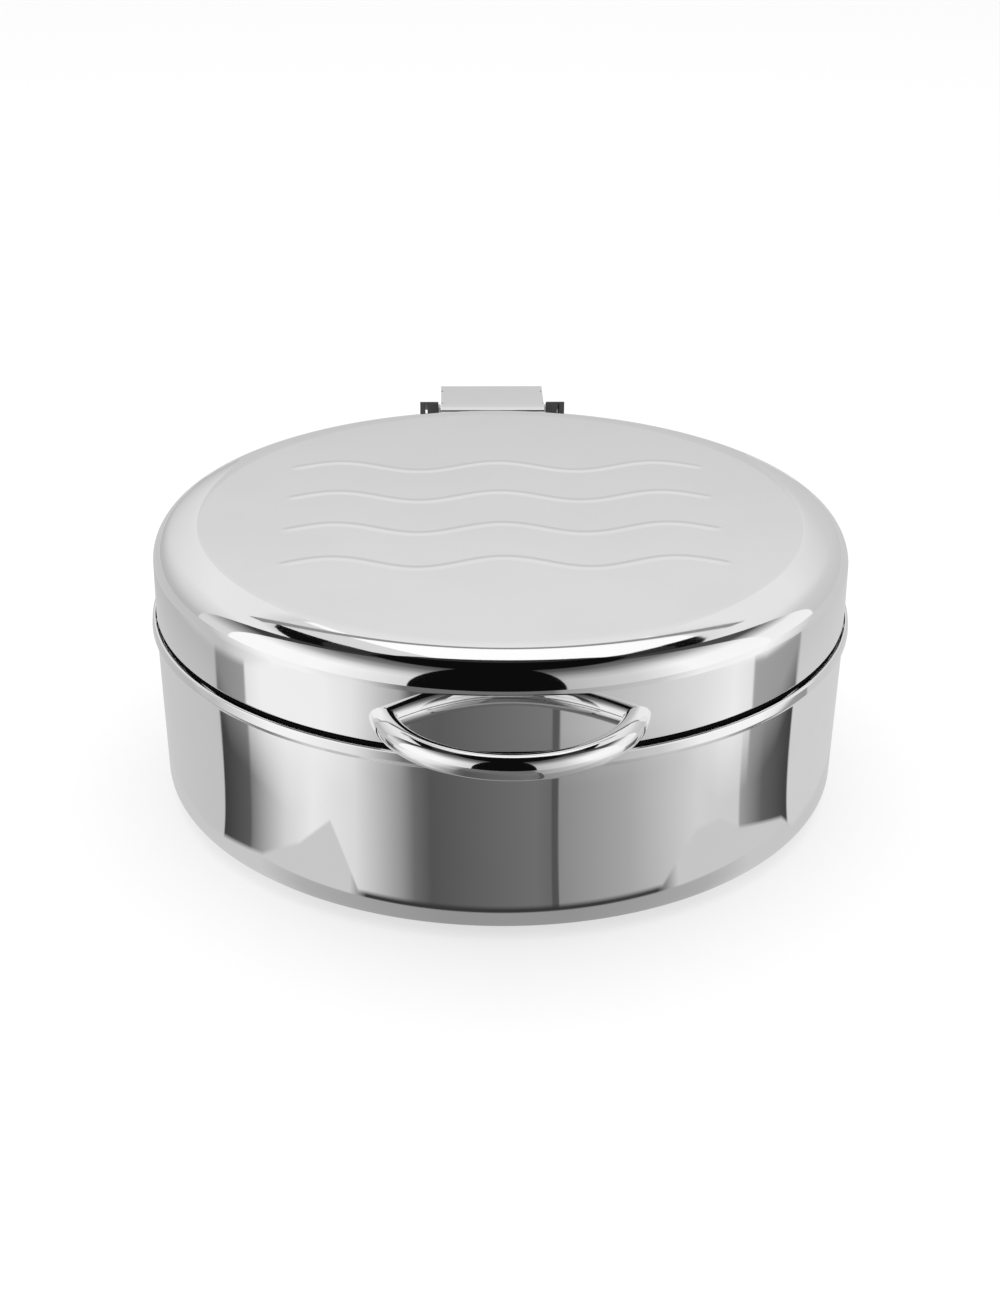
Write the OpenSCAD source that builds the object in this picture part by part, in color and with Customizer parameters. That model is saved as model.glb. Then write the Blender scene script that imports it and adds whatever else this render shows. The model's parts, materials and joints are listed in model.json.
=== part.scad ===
// Round chafing dish with a hinged lid, a lift-out food pan and a water pan below it.
// The origin is on the table under the centre of the dish. The handle is on -Y and the hinge on +Y.

/* [Water pan] */
// Outer radius of the rim, which sizes the whole dish
rim_r = 200.5; // [176:0.5:226]
// Distance that the rim flares out beyond the wall
flare_w = 2.9; // [2.5:0.1:4]
// Height of the flare
flare_h = 7.2; // [5:0.1:9]
// Distance that the wall leans in from its top down to the floor
wall_draft = 2.8; // [1.5:0.1:4]
// Height from the underside of the pan to the top of the rim
body_h = 107; // [94:1:127]
// Radius between wall and floor, outside
foot_fillet = 12; // [8:0.5:20]
// Sheet of the water pan
body_t = 1.2; // [0.8:0.1:1.5]

/* [Base] */
// Distance that the heating base stands in from the wall
base_inset = 29.8; // [22:0.2:50]
// Height of the heating base
base_h = 4; // [3:0.5:8]
// Sheet of the cap that wraps the base
cap_t = 0.8; // [0.6:0.1:1.2]

/* [Seat ring] */
// Depth of the ledge below the top of the rim
seat_drop = 7.8; // [7:0.1:12]
// Distance from the outside of the wall to the inner edge of the ledge
seat_w = 19.6; // [18:0.1:24]
// Height of the ring's leg on the wall
seat_leg = 13; // [8:0.5:20]
// Sheet of the seat ring
seat_t = 1.2; // [0.8:0.1:1.5]

/* [Food pan] */
// Depth of the food pan
pan_depth = 65; // [40:1:75]
// Width of the flange that lies on the ledge
pan_rest = 6.5; // [5:0.1:7.5]
// Gap from the ledge to the pan's wall
pan_gap = 3.5; // [2.5:0.1:6]
// Distance that the pan's wall leans in from the flange down to its floor
pan_draft = 5; // [3:0.5:15]
// Radius between wall and floor, outside
pan_fillet = 22; // [10:1:30]
// Sheet of the food pan
pan_t = 1; // [0.7:0.1:1.2]

/* [Lid] */
// Distance that the lid's wall stands in from the rim
lid_inset = 3.2; // [2.6:0.1:4]
// Height from the lid's lower edge to its top
lid_h = 49.2; // [44:0.1:70]
// Gap from the rim up to the lid's lower edge
lid_gap = 1; // [0.8:0.1:3]
// Radius of the crown, where the flat top begins to turn down
crown_r = 47; // [30:1:50]
// Slope at which the crown passes into the shoulder, in degrees
crown_slope = 22; // [12:1:24]
// Radius of the shoulder below the crown
shoulder_r = 15.2; // [10:0.2:18]
// Distance that the skirt under the lower edge stands in from the wall
skirt_inset = 3; // [2.8:0.1:3.4]
// Sheet of the lid
lid_t = 1; // [0.8:0.1:1.1]
// Distance that the seal round the skirt stands in from the lid's wall
seal_inset = 0.5; // [0.3:0.1:1]
// Depth of the seal's lower edge below the top of the rim
seal_dip = 1.8; // [1:0.1:2.2]

/* [Wave lines on the lid] */
// Number of lines
wave_count = 4; // [1:1:5]
// Distance between lines
wave_pitch = 49; // [30:1:52]
// Offset of the set from the middle of the lid, towards the hinge
wave_shift = 3.4; // [-10:0.2:10]
// Length of one wave
wave_len = 94; // [80:1:110]
// Length of a line from end to end
wave_span = 248; // [180:1:250]
// Height of a crest above the line's middle
wave_rise = 7.3; // [4:0.1:10]
// Width of the pressed bead
bead_w = 5; // [4:0.1:8]
// Height of the pressed bead
bead_h = 0.5; // [0.3:0.1:0.7]

/* [Handle] */
// Diameter of the handle's bar
bar_d = 13.5; // [12:0.5:16]
// Distance from the lid's wall to the middle of the bar at the front
handle_reach = 40.5; // [34:0.5:46]
// Distance from the middle to where the bar's centre line meets the wall
handle_half = 63.5; // [60:0.5:80]
// Height of the bar's middle above the lid's lower edge
handle_rise = 14; // [12:0.2:18]
// Distance from that place in to each handle screw
handle_screw_in = 4; // [3:0.5:6]

/* [Hinge] */
// Distance from the lid's wall back to the hinge axis
axis_back = 25.9; // [25.2:0.1:30]
// Depth of the hinge axis below the lid's top
axis_drop = 19.2; // [18.6:0.1:21]
// Width of the lid's hinge arm
arm_w = 67.3; // [60:0.1:68]
// Height of the arm's top plate above the axis
arm_rise = 13; // [12.8:0.1:14]
// Thickness of the arm's top plate
arm_t = 2.5; // [1.5:0.1:3]
// Distance from the axis back to the arm's rear edge
arm_tail = 23.9; // [20:0.1:24.5]
// Thickness of the arm's two ears
arm_ear_t = 2; // [1.5:0.1:3]
// Half width of an arm ear
arm_ear_r = 10.5; // [9:0.1:11]
// Gap from the arm's side to the bracket's ear
bracket_side = 1.85; // [1.7:0.05:2.5]
// Thickness of a bracket ear over both its cheeks
ear_w = 12; // [11:0.5:14]
// Width of the slot between the two cheeks of a bracket ear
ear_slot = 1.5; // [1:0.1:2]
// Thickness of the outer cheek of a bracket ear
ear_cheek = 3.3; // [2.5:0.1:4]
// Distance from the axis to a bracket ear's front face
ear_r = 8; // [7.7:0.1:9]
// Height of a bracket ear's front edge above the axis
ear_rise = 12.7; // [12.4:0.1:14]
// Height of the bracket's foot on the wall
bracket_foot_h = 39; // [36:0.5:42]
// Thickness of the bracket's web behind the wall
web_t = 9; // [7.5:0.5:10]
// Diameter of the hinge pin
pin_d = 8; // [6:0.5:9]
// Wire of the torsion springs
wire_d = 2.2; // [1.6:0.1:2.4]
// Turns of each torsion spring
spring_turns = 6; // [4:1:6]
// Length of each coil along the pin
spring_len = 18; // [17.5:0.5:20]
// Diameter of the rod that the springs bear on
rod_d = 5; // [4:0.5:6]

/* [Screws] */
// Thread of the screws in the lid
lid_screw_d = 5; // [4:0.5:5]
// Thread of the screws in the bracket
bracket_screw_d = 6; // [5:0.5:6]

/* [Hidden] */

// Clearances: pieces fixed together, a thread in its hole, a shaft that turns, pieces that pass,
// pieces that rest on each other, faces that turn side by side, and a hole beyond its screw
fixed_gap = 0.1;
thread_gap = 0.05;
run_gap = 0.05;
clear_gap = 0.3;
rest_gap = 0.2;
side_gap = 0.35;
tip_gap = 0.5;

// How far a cut runs past the face that it opens, and the least radius inside a sharp bend
cut_over = 1;
least_bend = 0.05;

// Fineness of round profiles, bends, wave lines and the spring wire
spin_fn = 180;
hole_fn = 48;
bend_steps = 8;
wave_steps = 42;
coil_rings = 8;
wire_sides = 6;

// Levels above the table
floor_z = base_h;
rim_z = floor_z + body_h;
kink_z = rim_z - flare_h;
seat_z = rim_z - seat_drop;
lid_z = rim_z + lid_gap;
top_z = lid_z + lid_h;
axis_z = top_z - axis_drop;

// Radii, all from the rim
wall_top_r = rim_r - flare_w;
wall_foot_r = wall_top_r - wall_draft;
wall_tilt = atan(wall_draft / (kink_z - floor_z));
base_r = wall_foot_r - base_inset;
seat_r = wall_top_r - seat_w;
pan_flange_r = seat_r + pan_rest;
pan_top_r = seat_r - pan_gap;
pan_foot_r = pan_top_r - pan_draft;
lid_r = rim_r - lid_inset;
skirt_r = lid_r - skirt_inset;
axis_y = lid_r + axis_back;

// Lid's crown and shoulder, whose two arcs meet at the slope: width and depth of the slope between the
// corners that they round, and depth of the shoulder's lower end
slope_len = crown_r * tan(crown_slope / 2) + shoulder_r * tan((90 - crown_slope) / 2) + least_bend;
crown_w = slope_len * cos(crown_slope);
crown_drop = slope_len * sin(crown_slope);
shoulder_drop = crown_drop + shoulder_r * tan((90 - crown_slope) / 2);

// Small bends of the sheets
kink_bend = 6;
seat_bend = 1.5;
flange_bend = pan_gap - tip_gap;
hem_bend = 1.5;
joggle_bend = 0.8;
seal_bend = 1;

// Handle, as an arc that passes through the lid's wall on both sides
handle_sag = lid_r + handle_reach - sqrt(lid_r ^ 2 - handle_half ^ 2);
handle_arc_r = (handle_half ^ 2 + handle_sag ^ 2) / (2 * handle_sag);
handle_y = lid_r + handle_reach - handle_arc_r;
handle_z = lid_z + handle_rise;
handle_angle = 84;
handle_screw_angle = asin((handle_half - handle_screw_in) / lid_r);

// Screws: head sizes follow the thread, the socket has six sides, and a flat washer bridges the curve of
// the lid's wall
head_ratio = 1.8;
head_h_ratio = 0.55;
head_edge_ratio = 0.35;
socket_ratio = 0.6;
socket_depth_ratio = 0.6;
washer_t = 1;
washer_r = 7.5;
washer_seat_r = sqrt((lid_r - lid_t) ^ 2 - washer_r ^ 2) - thread_gap;
handle_bite = 6;
arm_bite = 4;
bracket_bite = 7;

// Hinge arm, from the lid's wall back
arm_top_z = axis_z + arm_rise;
arm_under_z = arm_top_z - arm_t;
arm_foot_t = 5.2;
arm_foot_y = lid_r + arm_foot_t;
arm_foot_rise = 10;
arm_foot_z = lid_z + arm_foot_rise;
arm_front_gap = 2;
arm_front_y = lid_r + arm_front_gap;
arm_front_bend = 1;
arm_slope_w = 4;
arm_slope_drop = 1.2;
arm_lip = 3;
arm_lip_bend = 2;
arm_foot_bend = 1;
arm_inner_bend = 1.5;
relief_r = 1.3;
relief_in = 0.7;
relief_gap = 0.2;
arm_screw_angle = 5.2;
arm_screw_rise = 21.3;
arm_screw_z = lid_z + arm_screw_rise;
arm_plate_t = 1.4;
arm_plate_angle = 8;
arm_plate_h = 18;

// Hinge bracket, from the water pan's wall back
ear_in = arm_w / 2 + bracket_side;
ear_out = ear_in + ear_w;
cheek_in = ear_out - ear_cheek;
slot_in = cheek_in - ear_slot;
ear_front_gap = 2;
ear_front_y = rim_r + ear_front_gap;
ear_tail = 17.5;
ear_back_y = axis_y + ear_tail;
ear_low_drop = 40;
ear_neck_drop = 10;
ear_front_drop = 27;
ear_fall = 27.5;
ear_bends = [0, 6, 10, 8, 1, 6, 6, 2, 0];
ear_bridge = 1.6;
ear_slot_drop = 30;
bracket_drop = 6.8;
bracket_top_z = kink_z - bracket_drop;
bracket_low_z = bracket_top_z - bracket_foot_h;
bracket_toe = 17;
bracket_toe_y = wall_top_r + bracket_toe;
web_y = wall_top_r + web_t;
web_bend = 3;
bracket_screw_angle = 8.8;
bracket_row_low = 7;
bracket_row_high = 24;
bracket_screw_rows = [bracket_low_z + bracket_row_low, bracket_low_z + bracket_row_high];
bracket_head_r = bracket_screw_d * head_ratio / 2;
bracket_head_gap = bracket_head_r ^ 2 / (2 * wall_foot_r) + thread_gap;
bracket_plate_t = 1.5;
bracket_plate_angle = 12;
bracket_plate_gap = 2;
bracket_plate_low_z = bracket_low_z + bracket_plate_t;
bracket_plate_high_z = seat_z - seat_leg - bracket_plate_gap;

// Pin, bushes and springs
pin_r = pin_d / 2;
bush_wall = 1.5;
bush_r = pin_r + run_gap + bush_wall;
bush_flange = 2;
bush_flange_r = bush_r + bush_flange;
bush_flange_t = bracket_side - side_gap;
ring_t = 0.8;
ring_wall = 3.2;
ring_groove = 0.7;
pin_end = slot_in - clear_gap;
ring_out = arm_w / 2 - arm_ear_t - clear_gap;
ring_in = ring_out - ring_t;
coil_r = arm_under_z - axis_z - wire_d / 2 - clear_gap;
coil_gap = 0.3;
sleeve_r = coil_r * cos(180 / coil_rings) - wire_d / 2 - coil_gap;
sleeve_end = ring_in - side_gap;
coil_inset = 1.4;
coil_out = sleeve_end - wire_d / 2 - coil_inset;
front_leg = 17;
rod_y = axis_y + coil_r + wire_d / 2 + clear_gap + rod_d / 2;
rod_drop = 29.5;
rod_z = axis_z - rod_drop;
down_leg = rod_drop + rod_d;
rod_seat = 4;

// Outer radius of the water pan's wall at a height
function wall_r(z) = wall_foot_r + (wall_top_r - wall_foot_r) * (z - floor_z) / (kink_z - floor_z);

// Vectors in the plane
function unit(v) = v / norm(v);
function left_of(v) = [-v[1], v[0]];
function turn_side(a, b, c) = sign(cross(b - a, c - b));
function reversed(p) = [for (i = [len(p) - 1 : -1 : 0]) p[i]];

// An open path moved sideways by d, to the left of its direction
function shifted(p, d) = [for (i = [0 : len(p) - 1])
    let (before = unit(p[max(i, 1)] - p[max(i, 1) - 1]))
    let (after = unit(p[min(i, len(p) - 2) + 1] - p[min(i, len(p) - 2)]))
    let (m = left_of(before) + left_of(after))
    p[i] + 2 * d * m / (m * m)];

// The points of an arc of radius r that rounds the corner b
function bend(a, b, c, r) =
    let (u = unit(a - b), v = unit(c - b), half = acos(u * v) / 2)
    let (mid = b + unit(u + v) * r / sin(half), from = b + u * r / tan(half) - mid)
    let (sweep = turn_side(a, b, c) * (180 - 2 * half), start = atan2(from[1], from[0]))
    [for (k = [0 : bend_steps]) let (angle = start + sweep * k / bend_steps) mid + r * [cos(angle), sin(angle)]];

// A path whose corners are rounded by the radii, where 0 leaves a corner sharp
function rounded(p, radii) = [for (i = [0 : len(p) - 1])
    each (radii[i] > 0 ? bend(p[i - 1], p[i], p[i + 1], radii[i]) : [p[i]])];

// A closed outline whose corners are rounded
function rounded_loop(p, radii) = let (n = len(p)) [for (i = [0 : n - 1])
    each (radii[i] > 0 ? bend(p[(i + n - 1) % n], p[i], p[(i + 1) % n], radii[i]) : [p[i]])];

// The section of a bent sheet, whose second side lies t to the left of the path
function sheet(p, radii, t) =
    let (other = [for (i = [0 : len(p) - 1])
        radii[i] > 0 ? max(radii[i] - t * turn_side(p[i - 1], p[i], p[i + 1]), least_bend) : 0])
    concat(rounded(p, radii), reversed(rounded(shifted(p, t), other)));

// A section turned about the dish's axis
module spun(section) rotate_extrude($fn = spin_fn) polygon(section);

// A section turned through a sector that is centred on the hinge side
module spun_sector(section, half_turn)
    rotate([0, 0, 90 - half_turn])
    rotate_extrude(angle = 2 * half_turn, $fn = spin_fn) polygon(section);

// An outline in the Y-Z plane, thickened along X between two places
module plate_x(outline, from, to)
    translate([from, 0, 0]) rotate([90, 0, 90]) linear_extrude(to - from) polygon(outline);

// A rod along X between two places on a line parallel to the hinge axis
module rod_x(y, z, r, from, to)
    translate([from, y, z]) rotate([0, 90, 0]) cylinder(h = to - from, r = r, $fn = hole_fn);

// Children set on a round wall, with their +Z axis pointing outwards
module on_wall(turn, r, z) rotate([0, 0, turn]) translate([0, r, z]) rotate([-90, 0, 0]) children();

// The places of the screws in the lid and in the bracket
module at_handle_screws(r) for (s = [-1, 1]) on_wall(180 + s * handle_screw_angle, r, handle_z) children();
module at_arm_screws(r) for (s = [-1, 1]) on_wall(s * arm_screw_angle, r, arm_screw_z) children();
module at_bracket_screws() for (s = [-1, 1], z = bracket_screw_rows)
    on_wall(s * bracket_screw_angle, wall_r(z), z) rotate([-wall_tilt, 0, 0]) children();

// A hole from inside a wall to a depth outside it
module hole(r, from, to) translate([0, 0, from]) cylinder(h = to - from, r = r, $fn = hole_fn);

// A domed screw whose head bears on z = 0 and whose thread points to +Z
module screw(d, length) {
    head_r = d * head_ratio / 2;
    head_h = d * head_h_ratio;
    dome = [for (k = [0 : bend_steps]) let (a = 90 * k / bend_steps)
        [head_r * cos(a), -head_h * (head_edge_ratio + (1 - head_edge_ratio) * sin(a))]];
    difference() {
        rotate_extrude($fn = hole_fn)
            polygon(concat([[0, 0], [head_r, 0]], dome));
        translate([0, 0, -head_h - cut_over])
            cylinder(h = head_h * socket_depth_ratio + cut_over, r = d * socket_ratio / 2, $fn = 6);
    }
    cylinder(h = length, r = d / 2 - thread_gap, $fn = hole_fn);
}

// Drawn water pan with a rounded floor and a flared rim
module body_shell() color("silver") difference() {
    path = [[0, floor_z], [wall_foot_r, floor_z], [wall_top_r, kink_z], [rim_r, rim_z]];
    spun(sheet(path, [0, foot_fillet, kink_bend, 0], body_t));
    at_bracket_screws() hole(bracket_screw_d / 2 + fixed_gap, -2 * body_t, 2 * body_t);
}

// Aluminium disc that spreads the heat, bevelled to sit in the bend of its cap
module base_core() color("gainsboro") {
    core_r = base_r - cap_t - fixed_gap;
    spun([[0, cap_t], [core_r - cap_t, cap_t], [core_r, 2 * cap_t], [core_r, base_h], [0, base_h]]);
}

// Magnetic cap around the disc, on which the dish stands
module base_cap() color("darkgray") {
    path = [[0, 0], [base_r, 0], [base_r, base_h]];
    spun(sheet(path, [0, 2 * cap_t, 0], cap_t));
}

// Ledge inside the rim that carries the food pan and the closed lid
module seat_ring() color("lightgray") {
    leg_z = seat_z - seat_leg;
    inset = body_t + fixed_gap;
    path = [[wall_r(leg_z) - inset, leg_z], [wall_r(seat_z) - inset, seat_z], [seat_r, seat_z]];
    spun(sheet(path, [0, seat_bend, 0], seat_t));
}

// Drawn food pan whose flange lies on the ledge
module food_pan() color("whitesmoke") {
    flange_z = seat_z + rest_gap;
    pan_z = flange_z - pan_depth;
    path = [[0, pan_z], [pan_foot_r, pan_z], [pan_top_r, flange_z], [pan_flange_r, flange_z]];
    spun(sheet(path, [0, pan_fillet, flange_bend, 0], pan_t));
}

// The outline of one pressed wave line: a band of even width along a cosine
function wave_y(x) = wave_rise * cos(360 * x / wave_len);
function wave_normal(x) = unit([wave_rise * 2 * PI / wave_len * sin(360 * x / wave_len), 1]);
function wave_edge(w, side) = [for (k = [0 : wave_steps])
    let (x = wave_span * (k / wave_steps - 0.5))
    [x, wave_y(x)] + side * w / 2 * wave_normal(x)];
module wave_bands(w, from, to)
    for (i = [0 : wave_count - 1])
        translate([0, wave_shift + wave_pitch * (i - (wave_count - 1) / 2), from])
            linear_extrude(to - from) polygon(concat(wave_edge(w, -1), reversed(wave_edge(w, 1))));

// Drawn lid with a crown, a round shoulder, pressed beads, a lower edge and a skirt inside the rim
module lid_shell() color("silver") difference() {
    path = [[0, top_z], [lid_r - crown_w, top_z], [lid_r, top_z - crown_drop], [lid_r, lid_z],
            [skirt_r, lid_z], [skirt_r, seat_z + clear_gap]];
    union() {
        spun(sheet(path, [0, crown_r, shoulder_r, hem_bend, joggle_bend, 0], -lid_t));
        wave_bands(bead_w, top_z - lid_t / 2, top_z + bead_h);
    }
    wave_bands(bead_w - 2 * lid_t, top_z - 2 * lid_t, top_z - lid_t + bead_h);
    at_handle_screws(lid_r) hole(lid_screw_d / 2 + fixed_gap, -2 * lid_t, 2 * lid_t);
    at_arm_screws(lid_r) hole(lid_screw_d / 2 + fixed_gap, -2 * lid_t, 2 * lid_t);
}

// Seal round the lid's skirt that closes the gap above the rim
module lid_seal() color("black") {
    seal_in = skirt_r + fixed_gap;
    seal_out = lid_r - seal_inset;
    seal_low = rim_z - seal_dip;
    seal_top = lid_z - fixed_gap;
    spun(rounded_loop([[seal_in, seal_low], [seal_out, seal_low], [seal_out, seal_top],
                       [seal_in + joggle_bend, seal_top], [seal_in, seal_top - joggle_bend]],
                      [0, seal_bend, 0, 0, 0]));
}

// Bowed round bar whose ends are cut to the lid's wall
module lid_handle() color("silver") difference() {
    translate([0, -handle_y, handle_z]) rotate([0, 0, -90 - handle_angle])
        rotate_extrude(angle = 2 * handle_angle, $fn = spin_fn)
        translate([handle_arc_r, 0]) circle(d = bar_d, $fn = hole_fn);
    translate([0, 0, handle_z - bar_d]) cylinder(h = 2 * bar_d, r = lid_r + fixed_gap, $fn = spin_fn);
    at_handle_screws(lid_r) hole(lid_screw_d / 2, -2 * lid_t, handle_bite + tip_gap);
}

// Screws that hold the handle from inside the lid
module handle_screws() color("dimgray") {
    bearing_r = washer_seat_r - washer_t;
    at_handle_screws(bearing_r) screw(lid_screw_d, lid_r + handle_bite - bearing_r);
}

// Flat washers under the handle's screws
module handle_washers() color("darkgray")
    at_handle_screws(washer_seat_r - washer_t) difference() {
        cylinder(h = washer_t, r = washer_r, $fn = hole_fn);
        hole(lid_screw_d / 2 + fixed_gap, -washer_t, 2 * washer_t);
    }

// Folded arm on the lid: a foot on the wall, a top plate with a sloped front and a lip, and two ears for
// the pin
module hinge_arm() color("lightgray") difference() {
    tail_y = axis_y + arm_tail;
    inside_y = lid_r - 2 * arm_foot_t;
    step_z = top_z - shoulder_drop;
    fold_z = arm_top_z - arm_t / 2;
    side = [[inside_y, arm_foot_z], [arm_foot_y, arm_foot_z], [arm_foot_y, arm_under_z],
            [tail_y - arm_t, arm_under_z], [tail_y - arm_t, arm_under_z - arm_lip],
            [tail_y, arm_under_z - arm_lip], [tail_y, arm_top_z], [arm_front_y + arm_slope_w, arm_top_z],
            [arm_front_y, arm_top_z - arm_slope_drop], [arm_front_y, step_z], [inside_y, step_z]];
    side_bends = [0, arm_foot_bend, arm_inner_bend, least_bend, 0, 0, arm_lip_bend, 0, arm_front_bend,
                  0, 0];
    ear = concat([[axis_y + arm_ear_r, fold_z], [axis_y - arm_ear_r, fold_z]],
                 [for (k = [0 : 2 * bend_steps]) let (a = 180 + 180 * k / (2 * bend_steps))
                  [axis_y, axis_z] + arm_ear_r * [cos(a), sin(a)]]);
    union() {
        plate_x(rounded_loop(side, side_bends), -arm_w / 2, arm_w / 2);
        for (s = [0, 1]) mirror([s, 0, 0]) plate_x(ear, arm_w / 2 - arm_ear_t, arm_w / 2);
    }
    translate([0, 0, arm_foot_z - cut_over]) cylinder(h = lid_h, r = lid_r + fixed_gap, $fn = spin_fn);
    rod_x(axis_y, axis_z, pin_r + thread_gap, -arm_w, arm_w);
    at_arm_screws(lid_r) hole(lid_screw_d / 2, -2 * lid_t, arm_bite + tip_gap);
    for (x = [-1, 1], y = [-1, 1])
        translate([x * (arm_w / 2 - relief_in), axis_y + y * (arm_ear_r + relief_r + relief_gap),
                   arm_under_z - cut_over])
            cylinder(h = 2 * arm_t, r = relief_r, $fn = hole_fn);
}

// Screws that hold the arm from inside the lid
module arm_screws() color("dimgray") {
    bearing_r = lid_r - lid_t - arm_plate_t - 2 * fixed_gap;
    at_arm_screws(bearing_r) screw(lid_screw_d, lid_r + arm_bite - bearing_r);
}

// Curved plate that spreads the load of the arm's screws inside the lid
module arm_backing_plate() color("darkgray") difference() {
    outer = lid_r - lid_t - fixed_gap;
    low = arm_screw_z - arm_plate_h / 2;
    high = arm_screw_z + arm_plate_h / 2;
    spun_sector([[outer - arm_plate_t, low], [outer, low], [outer, high], [outer - arm_plate_t, high]],
                arm_plate_angle);
    at_arm_screws(lid_r) hole(lid_screw_d / 2 + fixed_gap, -4 * arm_plate_t, arm_plate_t);
}

// Height of a bracket ear's top, which falls towards the back
function ear_top(y) = axis_z + ear_rise - (y - axis_y + ear_r) * tan(ear_fall);

// Cast bracket on the water pan's wall, with two slotted ears for the pin and the spring rod
module hinge_bracket() color("darkslategray") difference() {
    inside_y = wall_foot_r - web_t;
    ear = [[inside_y, bracket_low_z], [bracket_toe_y, bracket_low_z], [ear_back_y, axis_z - ear_low_drop],
           [ear_back_y, ear_top(ear_back_y)], [axis_y - ear_r, ear_top(axis_y - ear_r)],
           [axis_y - ear_r, axis_z - ear_neck_drop], [ear_front_y, axis_z - ear_front_drop],
           [ear_front_y, bracket_top_z], [inside_y, bracket_top_z]];
    slot_from = ear_front_y - 2 * cut_over;
    slot_to = ear_back_y + cut_over;
    slot = [[slot_from, axis_z - ear_slot_drop], [slot_to, axis_z - ear_slot_drop],
            [slot_to, ear_top(slot_to) - ear_bridge], [slot_from, ear_top(slot_from) - ear_bridge]];
    web = [[inside_y, bracket_low_z], [web_y, bracket_low_z], [web_y, bracket_top_z],
           [inside_y, bracket_top_z]];
    union() {
        for (s = [0, 1]) mirror([s, 0, 0])
            plate_x(rounded_loop(ear, ear_bends), ear_in, ear_out);
        plate_x(rounded_loop(web, [0, web_bend, web_bend, 0]), -ear_in - cut_over, ear_in + cut_over);
    }
    translate([0, 0, bracket_low_z - cut_over])
        cylinder(h = bracket_foot_h + 2 * cut_over, r1 = wall_r(bracket_low_z - cut_over) + fixed_gap,
                 r2 = wall_r(bracket_top_z + cut_over) + fixed_gap, $fn = spin_fn);
    for (s = [0, 1]) mirror([s, 0, 0]) {
        plate_x(slot, slot_in, cheek_in);
        rod_x(axis_y, axis_z, bush_r + thread_gap, ear_in - cut_over, slot_in + ear_slot / 2);
        rod_x(axis_y, axis_z, pin_r + clear_gap, slot_in, ear_out + cut_over);
        rod_x(rod_y, rod_z, rod_d / 2 + thread_gap, ear_in - cut_over, ear_in + rod_seat);
    }
    at_bracket_screws() hole(bracket_screw_d / 2, -2 * body_t, bracket_bite + tip_gap);
}

// Screws that hold the bracket from inside the water pan
module bracket_screws() color("dimgray") {
    stack = body_t + bracket_plate_t + fixed_gap + bracket_head_gap;
    at_bracket_screws() translate([0, 0, -stack]) screw(bracket_screw_d, stack + bracket_bite);
}

// Curved plate that spreads the load of the bracket's screws inside the water pan
module bracket_backing_plate() color("darkgray") difference() {
    low = bracket_plate_low_z;
    high = bracket_plate_high_z;
    inset = body_t + fixed_gap;
    spun_sector([[wall_r(low) - inset - bracket_plate_t, low], [wall_r(low) - inset, low],
                 [wall_r(high) - inset, high], [wall_r(high) - inset - bracket_plate_t, high]],
                bracket_plate_angle);
    at_bracket_screws() hole(bracket_screw_d / 2 + fixed_gap, -4 * bracket_plate_t, bracket_plate_t);
}

// Flanged bushes in the inner cheeks, in which the pin turns
module hinge_bushes() color("ivory") for (s = [0, 1]) mirror([s, 0, 0]) difference() {
    union() {
        rod_x(axis_y, axis_z, bush_r, ear_in - bush_flange_t, slot_in);
        rod_x(axis_y, axis_z, bush_flange_r, ear_in - bush_flange_t, ear_in);
    }
    rod_x(axis_y, axis_z, pin_r + run_gap, ear_in - 2 * bush_flange_t, slot_in + cut_over);
}

// Pin held in the arm's ears, with a groove inside each
module hinge_pin() color("gray") difference() {
    rod_x(axis_y, axis_z, pin_r, -pin_end, pin_end);
    for (s = [0, 1]) mirror([s, 0, 0]) difference() {
        rod_x(axis_y, axis_z, pin_r + cut_over, ring_in - thread_gap, ring_out + thread_gap);
        rod_x(axis_y, axis_z, pin_r - ring_groove, ring_in - cut_over, ring_out + cut_over);
    }
}

// Retaining rings in the pin's grooves inside the arm's ears, open at the bottom
module pin_rings() color("dimgray") for (s = [0, 1]) mirror([s, 0, 0]) difference() {
    rod_x(axis_y, axis_z, pin_r - ring_groove + ring_wall, ring_in, ring_out);
    rod_x(axis_y, axis_z, pin_r - ring_groove + thread_gap, ring_in - cut_over, ring_out + cut_over);
    translate([ring_in - cut_over, axis_y - pin_r / 2, axis_z - 2 * pin_r])
        cube([ring_t + 2 * cut_over, pin_r, 2 * pin_r]);
}

// Plastic sleeve on the pin that guides the springs
module spring_sleeve() color("ivory") difference() {
    rod_x(axis_y, axis_z, sleeve_r, -sleeve_end, sleeve_end);
    rod_x(axis_y, axis_z, pin_r + thread_gap, -sleeve_end - cut_over, sleeve_end + cut_over);
}

// Rod between the bracket's ears that the springs' lower legs bear on
module spring_rod() color("gray")
    rod_x(rod_y, rod_z, rod_d / 2, -ear_in - rod_seat + clear_gap, ear_in + rod_seat - clear_gap);

// Rings of a torsion spring's wire: each is a centre and the angle of its outward direction
function spring_ring(x, a) = [[x, axis_y + coil_r * cos(a), axis_z + coil_r * sin(a)], a];
function spring_path() =
    let (steps = spring_turns * coil_rings + coil_rings / 4, sweep = spring_turns * 360 + 90)
    let (coil = [for (k = [0 : steps]) spring_ring(-coil_out + spring_len * k / steps, sweep * k / steps)])
    concat([[coil[0][0] - [0, 0, down_leg], 0]], coil, [[coil[steps][0] - [0, front_leg, 0], 90]]);

// Least gap between turns of a spring, measured between points of its path half a turn or more apart
spring_points = [for (ring = spring_path()) ring[0]];
spring_gap = min([for (i = [0 : len(spring_points) - 1])
    for (j = [i + coil_rings / 2 : 1 : len(spring_points) - 1])
        norm(spring_points[i] - spring_points[j])]) - wire_d;
echo(least_gap_between_spring_turns = spring_gap);

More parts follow.
